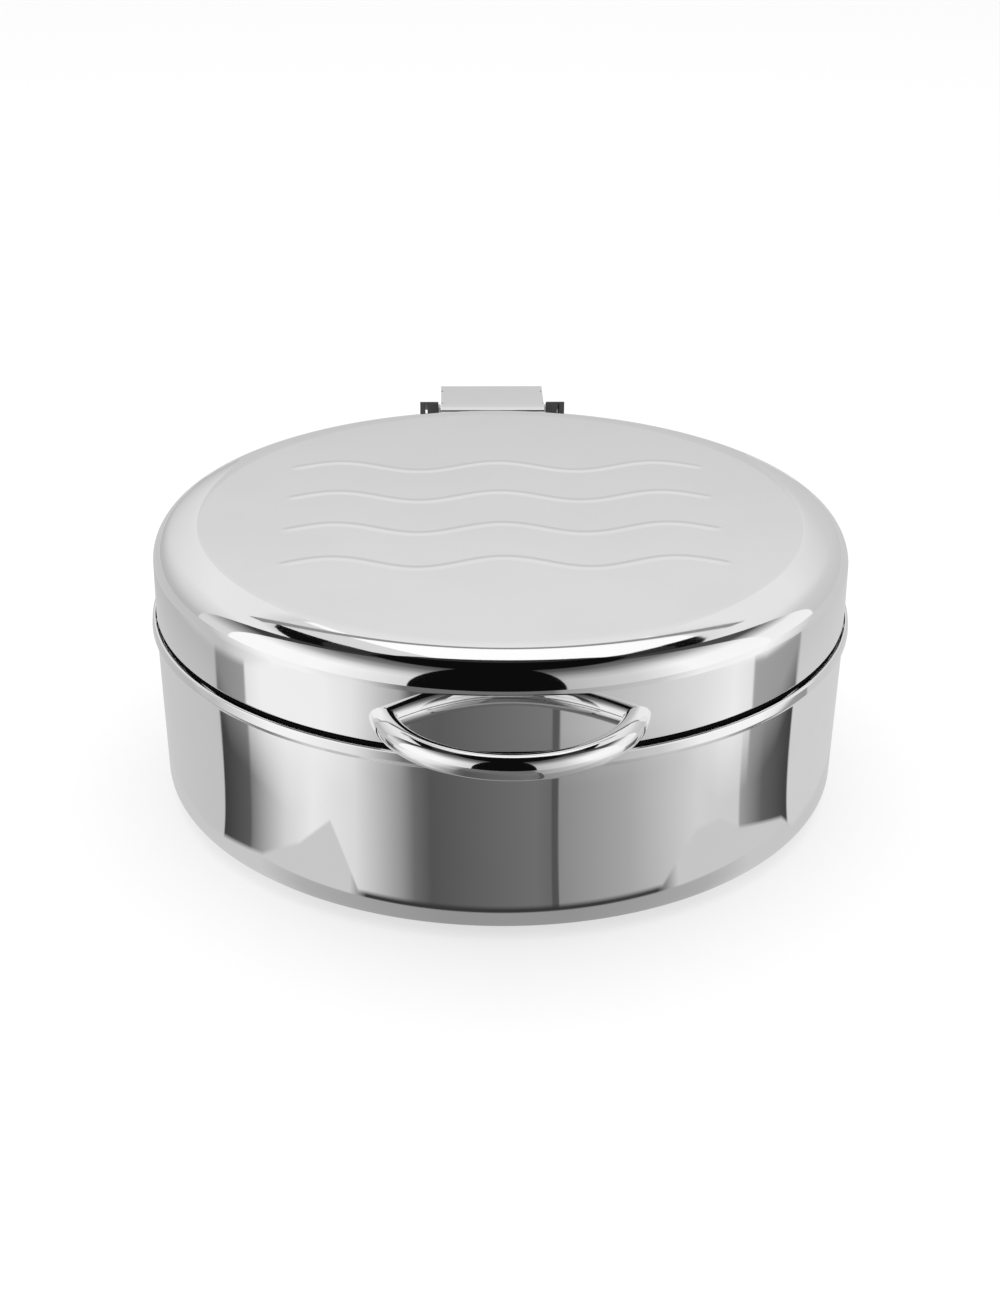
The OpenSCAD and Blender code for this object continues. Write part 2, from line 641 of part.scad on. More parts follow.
// A torsion spring: one unbroken wire with a leg down to the rod and a leg forward under the arm's plate
module spring_wire() {
    path = spring_path();
    n = len(path);
    points = [for (p = path, k = [0 : wire_sides - 1]) let (b = 360 * k / wire_sides)
        p[0] + wire_d / 2 * [sin(b), cos(b) * cos(p[1]), cos(b) * sin(p[1])]];
    walls = [for (i = [0 : n - 2], k = [0 : wire_sides - 1])
        let (a = i * wire_sides + k, b = i * wire_sides + (k + 1) % wire_sides)
        each [[a, b, a + wire_sides], [b, b + wire_sides, a + wire_sides]]];
    start_cap = [for (k = [1 : wire_sides - 2]) [0, k + 1, k]];
    last = (n - 1) * wire_sides;
    end_cap = [for (k = [1 : wire_sides - 2]) [last, last + k, last + k + 1]];
    polyhedron(points, concat(walls, start_cap, end_cap), convexity = 4);
}
module spring_left() color("slategray") spring_wire();
module spring_right() color("slategray") mirror([1, 0, 0]) spring_wire();

body_shell();
base_core();
base_cap();
seat_ring();
food_pan();
lid_shell();
lid_seal();
lid_handle();
handle_screws();
handle_washers();
hinge_arm();
arm_screws();
arm_backing_plate();
hinge_bracket();
bracket_screws();
bracket_backing_plate();
hinge_bushes();
hinge_pin();
pin_rings();
spring_sleeve();
spring_rod();
spring_left();
spring_right();
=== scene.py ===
"""Looks of a round chafing dish with a hinged lid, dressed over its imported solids."""

import json
import logging
import math
from dataclasses import dataclass
from enum import Enum

import bmesh
import bpy
from mathutils import Matrix, Quaternion, Vector

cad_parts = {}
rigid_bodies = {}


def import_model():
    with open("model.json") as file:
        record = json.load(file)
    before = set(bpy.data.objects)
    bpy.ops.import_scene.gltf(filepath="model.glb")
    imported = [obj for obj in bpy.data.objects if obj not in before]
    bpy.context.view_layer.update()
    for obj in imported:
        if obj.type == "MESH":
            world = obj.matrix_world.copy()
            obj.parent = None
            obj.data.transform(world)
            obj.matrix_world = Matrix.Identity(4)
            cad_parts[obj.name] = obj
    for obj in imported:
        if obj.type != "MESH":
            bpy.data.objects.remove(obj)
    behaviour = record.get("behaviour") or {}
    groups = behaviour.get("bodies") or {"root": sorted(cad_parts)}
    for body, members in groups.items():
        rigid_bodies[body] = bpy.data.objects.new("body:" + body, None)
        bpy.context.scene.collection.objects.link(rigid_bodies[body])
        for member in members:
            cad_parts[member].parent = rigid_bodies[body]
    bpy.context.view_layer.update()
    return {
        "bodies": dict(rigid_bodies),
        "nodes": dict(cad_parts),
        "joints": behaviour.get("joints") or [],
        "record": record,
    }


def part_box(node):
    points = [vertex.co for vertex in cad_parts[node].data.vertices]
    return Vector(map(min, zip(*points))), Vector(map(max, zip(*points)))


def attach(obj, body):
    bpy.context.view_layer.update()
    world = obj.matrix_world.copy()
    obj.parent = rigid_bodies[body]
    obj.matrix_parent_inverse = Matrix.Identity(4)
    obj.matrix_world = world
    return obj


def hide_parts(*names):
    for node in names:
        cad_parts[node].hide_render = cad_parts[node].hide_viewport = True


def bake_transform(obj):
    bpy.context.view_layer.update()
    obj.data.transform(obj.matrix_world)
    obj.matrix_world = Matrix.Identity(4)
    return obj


log = logging.getLogger("chafing_dish")

MM = 0.001

# Fineness of the meshes, with angles in degrees
SPIN_STEPS = 288
BEND_STEPS = 16
EDGE_STEPS = 2
EDGE_SHARE = 0.25
SHARP_ANGLE = 40.0
MERGE_ANGLE = 0.5
NORMAL_WEIGHT = 50
WELD_DISTANCE = 1e-6

# Shape of the noise in the marks of making
SMEAR_DETAIL = 4.0
SMEAR_LOW = 0.42
SMEAR_HIGH = 0.68
PATCH_DETAIL = 3.0
HAIR_TURN = (0.4, 0.2, 0.7)
HAIR_STRETCH = (0.04, 0.04, 1.0)

WHITE_LIGHT = (1.0, 1.0, 1.0, 1.0)

# A socket of a node, and a value or the socket that feeds it
Socket = bpy.types.NodeSocket
Feed = float | Socket

# A level that changes along a scale, as pairs of place and level
Stops = tuple[tuple[float, float], ...]


# Node trees

class Tree:
    """A shader node tree that is built a node at a time."""

    def __init__(self, tree: bpy.types.NodeTree) -> None:
        """Empties the node tree of a material, a world or a group."""
        self.tree = tree
        self.tree.nodes.clear()

    def add(self, kind: str, inputs: dict | None = None,
            **settings: str | bpy.types.NodeTree) -> bpy.types.Node:
        """Adds a node.

        Args:
            kind: Name of the node's type, without its "ShaderNode" start.
            inputs: Sockets by name or number, each with a value or with the socket that feeds it.
            **settings: Properties of the node.

        Returns:
            The node.
        """
        node = self.tree.nodes.new(kind if kind.startswith("NodeGroup") else f"ShaderNode{kind}")
        for name, value in settings.items():
            setattr(node, name, value)
        for name, value in (inputs or {}).items():
            self.feed(node.inputs[name], value)
        return node

    def feed(self, socket: Socket, value: Feed | tuple) -> None:
        """Gives a socket a value, or links it to the socket that feeds it."""
        if isinstance(value, Socket):
            self.tree.links.new(value, socket)
        else:
            socket.default_value = value

    def math(self, operation: str, a: Feed, b: Feed = 0.0) -> Socket:
        """Gives the result of a Math node on two values or sockets."""
        return self.add("Math", {0: a, 1: b}, operation=operation).outputs[0]

    def remap(self, value: Feed, low: float, high: float, to_low: Feed, to_high: Feed,
              smooth: bool = False) -> Socket:
        """Maps a range of values to another, held at its ends.

        Args:
            value: The socket to map.
            low: Value that gives to_low.
            high: Value that gives to_high.
            to_low: First result, as a value or a socket.
            to_high: Last result, as a value or a socket.
            smooth: Whether the ends ease in and out.

        Returns:
            The socket of the result.
        """
        kind = "SMOOTHSTEP" if smooth else "LINEAR"
        node = self.add("MapRange", {"Value": value, "From Min": low, "From Max": high,
                                     "To Min": to_low, "To Max": to_high}, interpolation_type=kind)
        return node.outputs["Result"]

    def level(self, value: Socket, stops: Stops) -> Socket:
        """Gives a level that follows a value from stop to stop.

        Args:
            value: The socket that is followed.
            stops: The value's places, in order, and the level at each.

        Returns:
            The socket of the level.
        """
        level = stops[0][1]
        for (start, _), (end, reached) in zip(stops, stops[1:]):
            level = self.remap(value, start, end, level, reached)
        return level

    def mixed(self, share: Socket, first: tuple, second: tuple) -> Socket:
        """Mixes two colours.

        Args:
            share: Socket of the second colour's share.
            first: First colour.
            second: Second colour.

        Returns:
            The socket of the mixed colour.
        """
        node = self.add("Mix", {"Factor": share}, data_type="RGBA")
        sockets = {socket.identifier: socket for socket in [*node.inputs, *node.outputs]}
        sockets["A_Color"].default_value = (*first, 1.0)
        sockets["B_Color"].default_value = (*second, 1.0)
        return sockets["Result_Color"]

    def noise(self, place: Feed, scale: Feed, detail: float = 2.0) -> Socket:
        """Gives a noise that follows a place, with its count a metre and its number of finer layers."""
        return self.add("TexNoise", {"Vector": place, "Scale": scale, "Detail": detail}).outputs["Fac"]

    def place(self) -> bpy.types.NodeOutputs:
        """Gives the sockets X, Y and Z of a place."""
        return self.add("SeparateXYZ", {"Vector": self.add("TexCoord").outputs["Object"]}).outputs

    def from_axis(self, place: bpy.types.NodeOutputs) -> Socket:
        """Gives a place's distance from the dish's axis."""
        flat = self.add("CombineXYZ", {"X": place["X"], "Y": place["Y"]})
        return self.add("VectorMath", {0: flat.outputs["Vector"]}, operation="LENGTH").outputs["Value"]

    def around(self) -> Socket:
        """Gives a place's degrees round the dish from the camera's side, to the right."""
        place = self.place()
        turn = self.math("ARCTAN2", place["X"], self.math("MULTIPLY", place["Y"], -1.0))
        return self.math("DEGREES", turn)

    def seen(self) -> Socket:
        """Gives 1 for rays from the camera, mirrors and glass, and 0 for the rest."""
        path = self.add("LightPath").outputs
        straight = self.math("MAXIMUM", path["Is Camera Ray"], path["Is Glossy Ray"])
        return self.math("MAXIMUM", straight, path["Is Transmission Ray"])


def new_material(name: str) -> tuple[bpy.types.Material, Tree]:
    """Starts a material.

    Args:
        name: Its name.

    Returns:
        The material and its empty tree.
    """
    material = bpy.data.materials.new(name)
    material.use_nodes = True
    return material, Tree(material.node_tree)


# Finishes

class Grain(Enum):
    """How the marks of making lie on a surface."""

    BUFFED = "buffed"
    SPUN = "spun"
    CAST = "cast"


class Marks:
    """The marks of making as node groups, each built once and placed in every finish that shows it.

    Each group has the inputs Broad and Fine, the marks' sizes as counts a metre, and the outputs Smear, a
    mask of broad uneven patches, and Line, the height of the fine marks.
    """

    def __init__(self) -> None:
        """Builds the groups."""
        self.groups = {Grain.BUFFED: self.buffed(), Grain.SPUN: self.spun(), Grain.CAST: self.cast()}

    def open_group(self, name: str) -> tuple[Tree, bpy.types.Node, bpy.types.Node]:
        """Starts a group with its sockets.

        Args:
            name: Name of the group.

        Returns:
            Its tree, its input node and its output node.
        """
        group = bpy.data.node_groups.new(name, "ShaderNodeTree")
        for direction, labels in (("INPUT", ("Broad", "Fine")), ("OUTPUT", ("Smear", "Line"))):
            for label in labels:
                group.interface.new_socket(label, in_out=direction, socket_type="NodeSocketFloat")
        tree = Tree(group)
        return tree, tree.add("NodeGroupInput"), tree.add("NodeGroupOutput")

    def buffed(self) -> bpy.types.NodeTree:
        """Makes the group for mirror polish: soft smears of handling and hair-fine buffing lines."""
        tree, given, made = self.open_group("buffed_marks")
        place = tree.add("TexCoord").outputs["Object"]
        cloud = tree.noise(place, given.outputs["Broad"], SMEAR_DETAIL)
        turned = tree.add("Mapping", {"Vector": place, "Rotation": HAIR_TURN, "Scale": HAIR_STRETCH})
        hair = tree.noise(turned.outputs["Vector"], given.outputs["Fine"])
        tree.feed(made.inputs["Smear"], tree.remap(cloud, SMEAR_LOW, SMEAR_HIGH, 0.0, 1.0, smooth=True))
        tree.feed(made.inputs["Line"], hair)
        return tree.tree

    def spun(self) -> bpy.types.NodeTree:
        """Makes the group for turned sheet: fine rings about the dish's axis and broad uneven bands."""
        tree, given, made = self.open_group("spun_marks")
        place = tree.place()
        ring = tree.add("CombineXYZ", {"X": tree.from_axis(place), "Y": place["Z"]}).outputs["Vector"]
        tree.feed(made.inputs["Smear"], tree.noise(ring, given.outputs["Broad"], PATCH_DETAIL))
        tree.feed(made.inputs["Line"], tree.noise(ring, given.outputs["Fine"]))
        return tree.tree

    def cast(self) -> bpy.types.NodeTree:
        """Makes the group for castings, turned parts, wire and mouldings: a faint skin and worn patches."""
        tree, given, made = self.open_group("cast_marks")
        place = tree.add("TexCoord").outputs["Object"]
        tree.feed(made.inputs["Smear"], tree.noise(place, given.outputs["Broad"], PATCH_DETAIL))
        tree.feed(made.inputs["Line"], tree.noise(place, given.outputs["Fine"], PATCH_DETAIL))
        return tree.tree


@dataclass(frozen=True)
class Finish:
    """A finish of the dish.

    Attributes:
        slot: The record's material slot.
        clean: Colour where the surface is clean.
        dulled: Colour where it is smeared or worn.
        smooth: Roughness where it is clean.
        rough: Roughness where it is smeared or worn.
        grain: How the marks of making lie.
        broad: Size of the smears, as a count a metre.
        fine: Size of the fine marks, as a count a metre.
        relief: Height of the fine marks.
        metallic: 1 for metal and 0 for coating, rubber and plastic.
        shine: Strength of the mirror on coating, rubber and plastic.
    """

    slot: str
    clean: tuple[float, float, float]
    dulled: tuple[float, float, float]
    smooth: float
    rough: float
    grain: Grain
    broad: float
    fine: float
    relief: float
    metallic: float = 1.0
    shine: float = 0.5

    def material(self, marks: Marks) -> bpy.types.Material:
        """Makes the finish's material.

        Args:
            marks: The marks of making.

        Returns:
            The material.
        """
        material, tree = new_material(f"{self.slot}_finish")
        made = tree.add("Group", node_tree=marks.groups[self.grain])
        made.inputs["Broad"].default_value = self.broad
        made.inputs["Fine"].default_value = self.fine
        colour = tree.mixed(made.outputs["Smear"], self.clean, self.dulled)
        roughness = tree.remap(made.outputs["Smear"], 0.0, 1.0, self.smooth, self.rough)
        bump = tree.add("Bump", {"Strength": 1.0, "Distance": self.relief, "Height": made.outputs["Line"]})
        shader = tree.add("BsdfPrincipled", {"Base Color": colour, "Metallic": self.metallic,
                                             "Roughness": roughness, "Specular IOR Level": self.shine,
                                             "Normal": bump.outputs["Normal"]})
        tree.add("OutputMaterial", {"Surface": shader.outputs["BSDF"]})
        return material


POLISHED = Finish("polished_steel", clean=(0.90, 0.90, 0.90), dulled=(0.88, 0.88, 0.88), smooth=0.035,
                  rough=0.06, grain=Grain.BUFFED, broad=14, fine=1400, relief=2e-5 * MM)
SATIN = Finish("satin_steel", clean=(0.74, 0.74, 0.73), dulled=(0.68, 0.68, 0.67), smooth=0.20,
               rough=0.32, grain=Grain.SPUN, broad=120, fine=1900, relief=0.004 * MM)
COATED = Finish("hinge_casting", clean=(0.050, 0.050, 0.052), dulled=(0.075, 0.075, 0.077), smooth=0.30,
                rough=0.42, grain=Grain.CAST, broad=90, fine=900, relief=0.006 * MM, metallic=0.0)
FASTENER = Finish("fastener_steel", clean=(0.68, 0.68, 0.68), dulled=(0.56, 0.56, 0.56), smooth=0.16,
                  rough=0.32, grain=Grain.CAST, broad=90, fine=900, relief=0.002 * MM)
SPRING = Finish("spring_steel", clean=(0.50, 0.50, 0.51), dulled=(0.36, 0.36, 0.37), smooth=0.22,
                rough=0.38, grain=Grain.CAST, broad=160, fine=1200, relief=0.002 * MM)
ALUMINIUM = Finish("core_aluminium", clean=(0.80, 0.80, 0.80), dulled=(0.70, 0.70, 0.70), smooth=0.30,
                   rough=0.42, grain=Grain.SPUN, broad=60, fine=1500, relief=0.004 * MM)
ACETAL = Finish("bush_plastic", clean=(0.82, 0.79, 0.72), dulled=(0.74, 0.71, 0.64), smooth=0.35,
                rough=0.50, grain=Grain.CAST, broad=70, fine=700, relief=0.006 * MM, metallic=0.0)
# Painted shade: the seal is near black and has almost no shine, so the gap between the lid's edge and the
# pan's rim reads as a shadow.
SEAL_PAINTED_SHADE = Finish("seal_rubber", clean=(0.003, 0.003, 0.003), dulled=(0.006, 0.006, 0.006), smooth=0.55,
                  rough=0.70, grain=Grain.CAST, broad=60, fine=300, relief=0.001 * MM, metallic=0.0,
                  shine=0.02)


# Mesh building

@dataclass(frozen=True)
class Corner:
    """A corner of a turned section.

    Attributes:
        r: Distance from the dish's axis.
        z: Height above the table.
        bend: Radius that rounds the corner, or 0 where it is sharp.
    """

    r: float
    z: float
    bend: float = 0.0


def round_corner(bm: bmesh.types.BMesh, vert: bmesh.types.BMVert, radius: float) -> None:
    """Rounds a corner of a line to an arc.

    Args:
        bm: The mesh that holds the line.
        vert: The corner, which has two edges.
        radius: Radius of the arc.
    """
    before, after = (edge.other_vert(vert).co - vert.co for edge in vert.link_edges)
    reach = radius / math.tan(before.angle(after) / 2)
    bmesh.ops.bevel(bm, geom=[vert], offset=reach, offset_type="OFFSET", segments=BEND_STEPS, profile=0.5,
                    affect="VERTICES", material=-1)


def turned_skin(corners: list[Corner]) -> bmesh.types.BMesh:
    """Turns a line about the dish's axis into an open skin that faces outwards.

    Args:
        corners: The line's corners, in order.

    Returns:
        The mesh of the skin.
    """
    bm = bmesh.new()
    verts = [bm.verts.new((c.r, 0.0, c.z)) for c in corners]
    for first, second in zip(verts, verts[1:]):
        bm.edges.new((first, second))
    for vert, corner in zip(verts, corners):
        if corner.bend:
            round_corner(bm, vert, corner.bend)
    bmesh.ops.spin(bm, geom=bm.verts[:] + bm.edges[:], cent=(0, 0, 0), axis=(0, 0, 1), angle=2 * math.pi,
                   steps=SPIN_STEPS, use_merge=True)
    weld(bm)
    return bm


def weld(bm: bmesh.types.BMesh) -> None:
    """Merges doubled points, then turns the faces outwards."""
    bmesh.ops.remove_doubles(bm, verts=bm.verts[:], dist=WELD_DISTANCE)
    bmesh.ops.recalc_face_normals(bm, faces=bm.faces[:])


def soften_edges(bm: bmesh.types.BMesh, width: float, sharp: float = SHARP_ANGLE) -> None:
    """Rounds the sharp edges of a closed mesh.

    Args:
        bm: The mesh.
        width: Width of the rounding.
        sharp: Least angle of an edge that counts as sharp, in degrees.
    """
    limit = math.radians(sharp)
    edges = [edge for edge in bm.edges if edge.is_manifold and edge.calc_face_angle() > limit]
    bmesh.ops.bevel(bm, geom=edges, offset=width, offset_type="OFFSET", segments=EDGE_STEPS, profile=0.5,
                    affect="EDGES", clamp_overlap=True, material=-1)


def sheet_metal(corners: list[Corner], thickness: float) -> bmesh.types.BMesh:
    """Turns a line into a skin and gives it the thickness of sheet, on its inner side.

    Args:
        corners: The outer line's corners, in order.
        thickness: Thickness of the sheet.

    Returns:
        The closed mesh.
    """
    bm = turned_skin(corners)
    bmesh.ops.solidify(bm, geom=bm.faces[:], thickness=thickness)
    soften_edges(bm, thickness * EDGE_SHARE)
    return bm


def placed(name: str, data: bpy.types.ID) -> bpy.types.Object:
    """Puts an object in the scene.

    Args:
        name: Its name.
        data: Its mesh, lamp or camera.

    Returns:
        The object.
    """
    obj = bpy.data.objects.new(name, data)
    bpy.context.scene.collection.objects.link(obj)
    return obj


def meshed(name: str, bm: bmesh.types.BMesh, material: bpy.types.Material) -> bpy.types.Object:
    """Makes an object of a mesh.

    Args:
        name: Its name.
        bm: The mesh, which is freed.
        material: Its material.

    Returns:
        The object.
    """
    mesh = bpy.data.meshes.new(name)
    bm.to_mesh(mesh)
    bm.free()
    mesh.materials.append(material)
    return placed(name, mesh)


class Dresser:
    """Turns meshes into pieces of the dish and gives every piece and node its finish."""

    def __init__(self, frame: dict) -> None:
        """Makes the groups of marks.
        """
        self.frame = frame
        self.marks = Marks()
        self.materials: dict[Finish, bpy.types.Material] = {}
        self.body_of = {node: body for body, nodes in frame["record"]["behaviour"]["bodies"].items()
                        for node in nodes}

    def material(self, finish: Finish) -> bpy.types.Material:
        """Gives a finish's material, which is made once."""
        if finish not in self.materials:
            self.materials[finish] = finish.material(self.marks)
        return self.materials[finish]

    def piece(self, node: str, bm: bmesh.types.BMesh, finish: Finish) -> bpy.types.Object:
        """Makes a piece that stands for a node, on the node's body.

        Args:
            node: Name of the node.
            bm: The piece's mesh, which is freed.
            finish: The piece's finish.

        Returns:
            The piece.
        """
        piece = self.loose_piece(node, bm, finish)
        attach(piece, self.body_of[node])
        return piece

    def loose_piece(self, node: str, bm: bmesh.types.BMesh, finish: Finish) -> bpy.types.Object:
        """Makes a piece that stands for a node and isn't on a body yet.

        Args:
            node: Name of the node.
            bm: The piece's mesh, which is freed.
            finish: The piece's finish.

        Returns:
            The piece.
        """
        piece = meshed(f"{node}_formed", bm, self.material(finish))
        piece.data.shade_smooth()
        normals = piece.modifiers.new("even_normals", "WEIGHTED_NORMAL")
        normals.weight = NORMAL_WEIGHT
        normals.keep_sharp = True
        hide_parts(node)
        log.info("%s: %d faces, %s", piece.name, len(piece.data.polygons), finish.slot)
        return piece

    def keep(self, node: str, finish: Finish) -> None:
        """Gives a node that stays as it is its finish.

        Args:
            node: Name of the node.
            finish: The node's finish.
        """
        for slot in self.frame["nodes"][node].material_slots:
            slot.material = self.material(finish)
        log.info("%s stays, %s", node, finish.slot)

    def merged_copy(self, node: str) -> bmesh.types.BMesh:
        """Copies a node's mesh, with its loose triangles merged into plain faces.

        Args:
            node: Name of the node.

        Returns:
            The mesh.
        """
        bm = bmesh.new()
        bm.from_mesh(self.frame["nodes"][node].data)
        bmesh.ops.remove_doubles(bm, verts=bm.verts[:], dist=WELD_DISTANCE)
        bmesh.ops.dissolve_limit(bm, angle_limit=math.radians(MERGE_ANGLE), verts=bm.verts[:],
                                 edges=bm.edges[:])
        return bm


# Sub-assemblies

@dataclass
class WaterPan:
    """The water pan with its heating base and the ledge inside its rim.

    A step at 45 degrees carries the wall out to a band, which leans back in to a rolled lip at the rim.

    Attributes:
        rim_r: Outer radius of the rim.
        floor_z: Height of the pan's underside.
        rim_z: Height of the rim's outer edge.
        base_r: Radius of the heating base.
        seat_z: Height of the ledge.
    """

    rim_r: float
    floor_z: float
    rim_z: float
    base_r: float
    seat_z: float
    flare_w: float = 2.9 * MM
    flare_h: float = 7.2 * MM
    band_in: float = 0.5 * MM
    band_lean: float = 6.0
    band_bend: float = 1.6 * MM
    step_drop: float = 1.9 * MM
    step_bend: float = 1.0 * MM
    lip_drop: float = 0.9 * MM
    lip_w: float = 1.45 * MM
    lip_bend: float = 1.25 * MM
    wall_draft: float = 2.8 * MM
    foot_fillet: float = 12.0 * MM
    sheet: float = 1.2 * MM
    cap_sheet: float = 0.8 * MM
    seat_w: float = 19.6 * MM
    seat_leg: float = 13.0 * MM
    seat_bend: float = 1.5 * MM
    fit: float = 0.1 * MM

    @classmethod
    def from_frame(cls) -> "WaterPan":
        """Reads the pan's sizes from the solids."""
        low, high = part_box("body_shell")
        rim_turn = cls.sheet * cls.flare_w / math.hypot(cls.flare_w, cls.flare_h)
        return cls(rim_r=high[0], floor_z=low[2], rim_z=high[2] - rim_turn, base_r=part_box("base_cap")[1][0],
                   seat_z=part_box("seat_ring")[1][2])

    def wall_r(self, z: float) -> float:
        """Gives the wall's outer radius at a height."""
        top = self.rim_r - self.flare_w
        down = (self.rim_z - self.flare_h - z) / (self.rim_z - self.flare_h - self.floor_z)
        return top - self.wall_draft * down

    def build(self, dresser: Dresser) -> None:
        """Makes the pan, its ledge and the cap of its base.

        Args:
            dresser: Makes the pieces.
        """
        step_z = self.rim_z - self.flare_h - self.step_drop
        step_r = self.wall_r(step_z)
        band_r = self.rim_r - self.band_in
        band_z = step_z + band_r - step_r
        lip_z = self.rim_z - self.lip_drop
        lip_r = band_r - (lip_z - band_z) * math.tan(math.radians(self.band_lean))
        body = sheet_metal([Corner(0.0, self.floor_z),
                            Corner(self.wall_r(self.floor_z), self.floor_z, self.foot_fillet),
                            Corner(step_r, step_z, self.step_bend), Corner(band_r, band_z, self.band_bend),
                            Corner(lip_r, lip_z, self.lip_bend), Corner(lip_r - self.lip_w, lip_z)],
                           self.sheet)
        dresser.piece("body_shell", body, POLISHED)
        leg_z = self.seat_z - self.seat_leg
        inset = self.sheet + self.fit
        seat = sheet_metal([Corner(self.wall_r(leg_z) - inset, leg_z),
                            Corner(self.wall_r(self.seat_z) - inset, self.seat_z, self.seat_bend),
                            Corner(self.rim_r - self.flare_w - self.seat_w, self.seat_z)], self.sheet)
        dresser.piece("seat_ring", seat, SATIN)
        cap = sheet_metal([Corner(0.0, 0.0), Corner(self.base_r, 0.0, 2 * self.cap_sheet),
                           Corner(self.base_r, self.floor_z)], self.cap_sheet)
        dresser.piece("base_cap", cap, SATIN)
        dresser.keep("base_core", ALUMINIUM)


@dataclass
class FoodPan:
    """The drawn pan that lies on the ledge.

    Attributes:
        flange_r: Outer radius of the flange.
        floor_z: Height of the pan's underside.
        flange_z: Height of the flange's underside.
    """

    flange_r: float
    floor_z: float
    flange_z: float
    flange_w: float = 10.0 * MM
    wall_draft: float = 5.0 * MM
    fillet: float = 22.0 * MM
    flange_bend: float = 3.0 * MM
    sheet: float = 1.0 * MM

    @classmethod
    def from_frame(cls) -> "FoodPan":
        """Reads the pan's sizes from the solid."""
        low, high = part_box("food_pan")
        return cls(flange_r=high[0], floor_z=low[2], flange_z=high[2] - cls.sheet)

    def build(self, dresser: Dresser) -> None:
        """Makes the pan.

        Args:
            dresser: Makes the piece.
        """
        top_r = self.flange_r - self.flange_w
        pan = sheet_metal([Corner(0.0, self.floor_z),
                           Corner(top_r - self.wall_draft, self.floor_z, self.fillet),
                           Corner(top_r, self.flange_z, self.flange_bend),
                           Corner(self.flange_r, self.flange_z)], self.sheet)
        dresser.piece("food_pan", pan, SATIN)


@dataclass
class WaveLine:
    """One pressed wave line on the lid: a low bead along a cosine, with its ends run out.

    Attributes:
        middle_y: Place of the line's middle, towards the hinge.
        top_z: Height of the lid's flat top.
    """

    middle_y: float
    top_z: float
    span: float = 248.0 * MM
    wave: float = 94.0 * MM
    rise: float = 7.3 * MM
    width: float = 8.0 * MM
    height: float = 0.32 * MM
    border: float = 1.5 * MM
    run_out: float = 7.0 * MM
    steps_along: int = 220
    steps_across: int = 20

    def point(self, along: float, across: float) -> Vector:
        """Gives a point of the line's surface.

        Args:
            along: Place along the line, from -0.5 to 0.5.
            across: Place across it, from -0.5 to 0.5.

        Returns:
            The point.
        """
        turn = 2 * math.pi / self.wave
        x = along * self.span
        side = Vector((self.rise * turn * math.sin(turn * x), 1.0, 0.0)).normalized()
        reach = across * (self.width + 2 * self.border)
        from_end = (0.5 - abs(along)) * self.span / self.run_out
        strength = math.sin(min(from_end, 1.0) * math.pi / 2) ** 2
        crown = math.cos(min(abs(reach) / self.width, 0.5) * math.pi) ** 2
        middle = Vector((x, self.middle_y + self.rise * math.cos(turn * x), self.top_z))
        return middle + reach * side + Vector((0.0, 0.0, self.height * strength * crown))

    def add_to(self, bm: bmesh.types.BMesh) -> list[bmesh.types.BMEdge]:
        """Adds the line's strip to a mesh.

        Args:
            bm: The mesh.

        Returns:
            The strip's outer edges.
        """
        grid = bmesh.ops.create_grid(bm, x_segments=self.steps_along, y_segments=self.steps_across, size=0.5)
        for vert in grid["verts"]:
            vert.co = self.point(vert.co.x, vert.co.y)
        return [edge for vert in grid["verts"] for edge in vert.link_edges if edge.is_boundary]


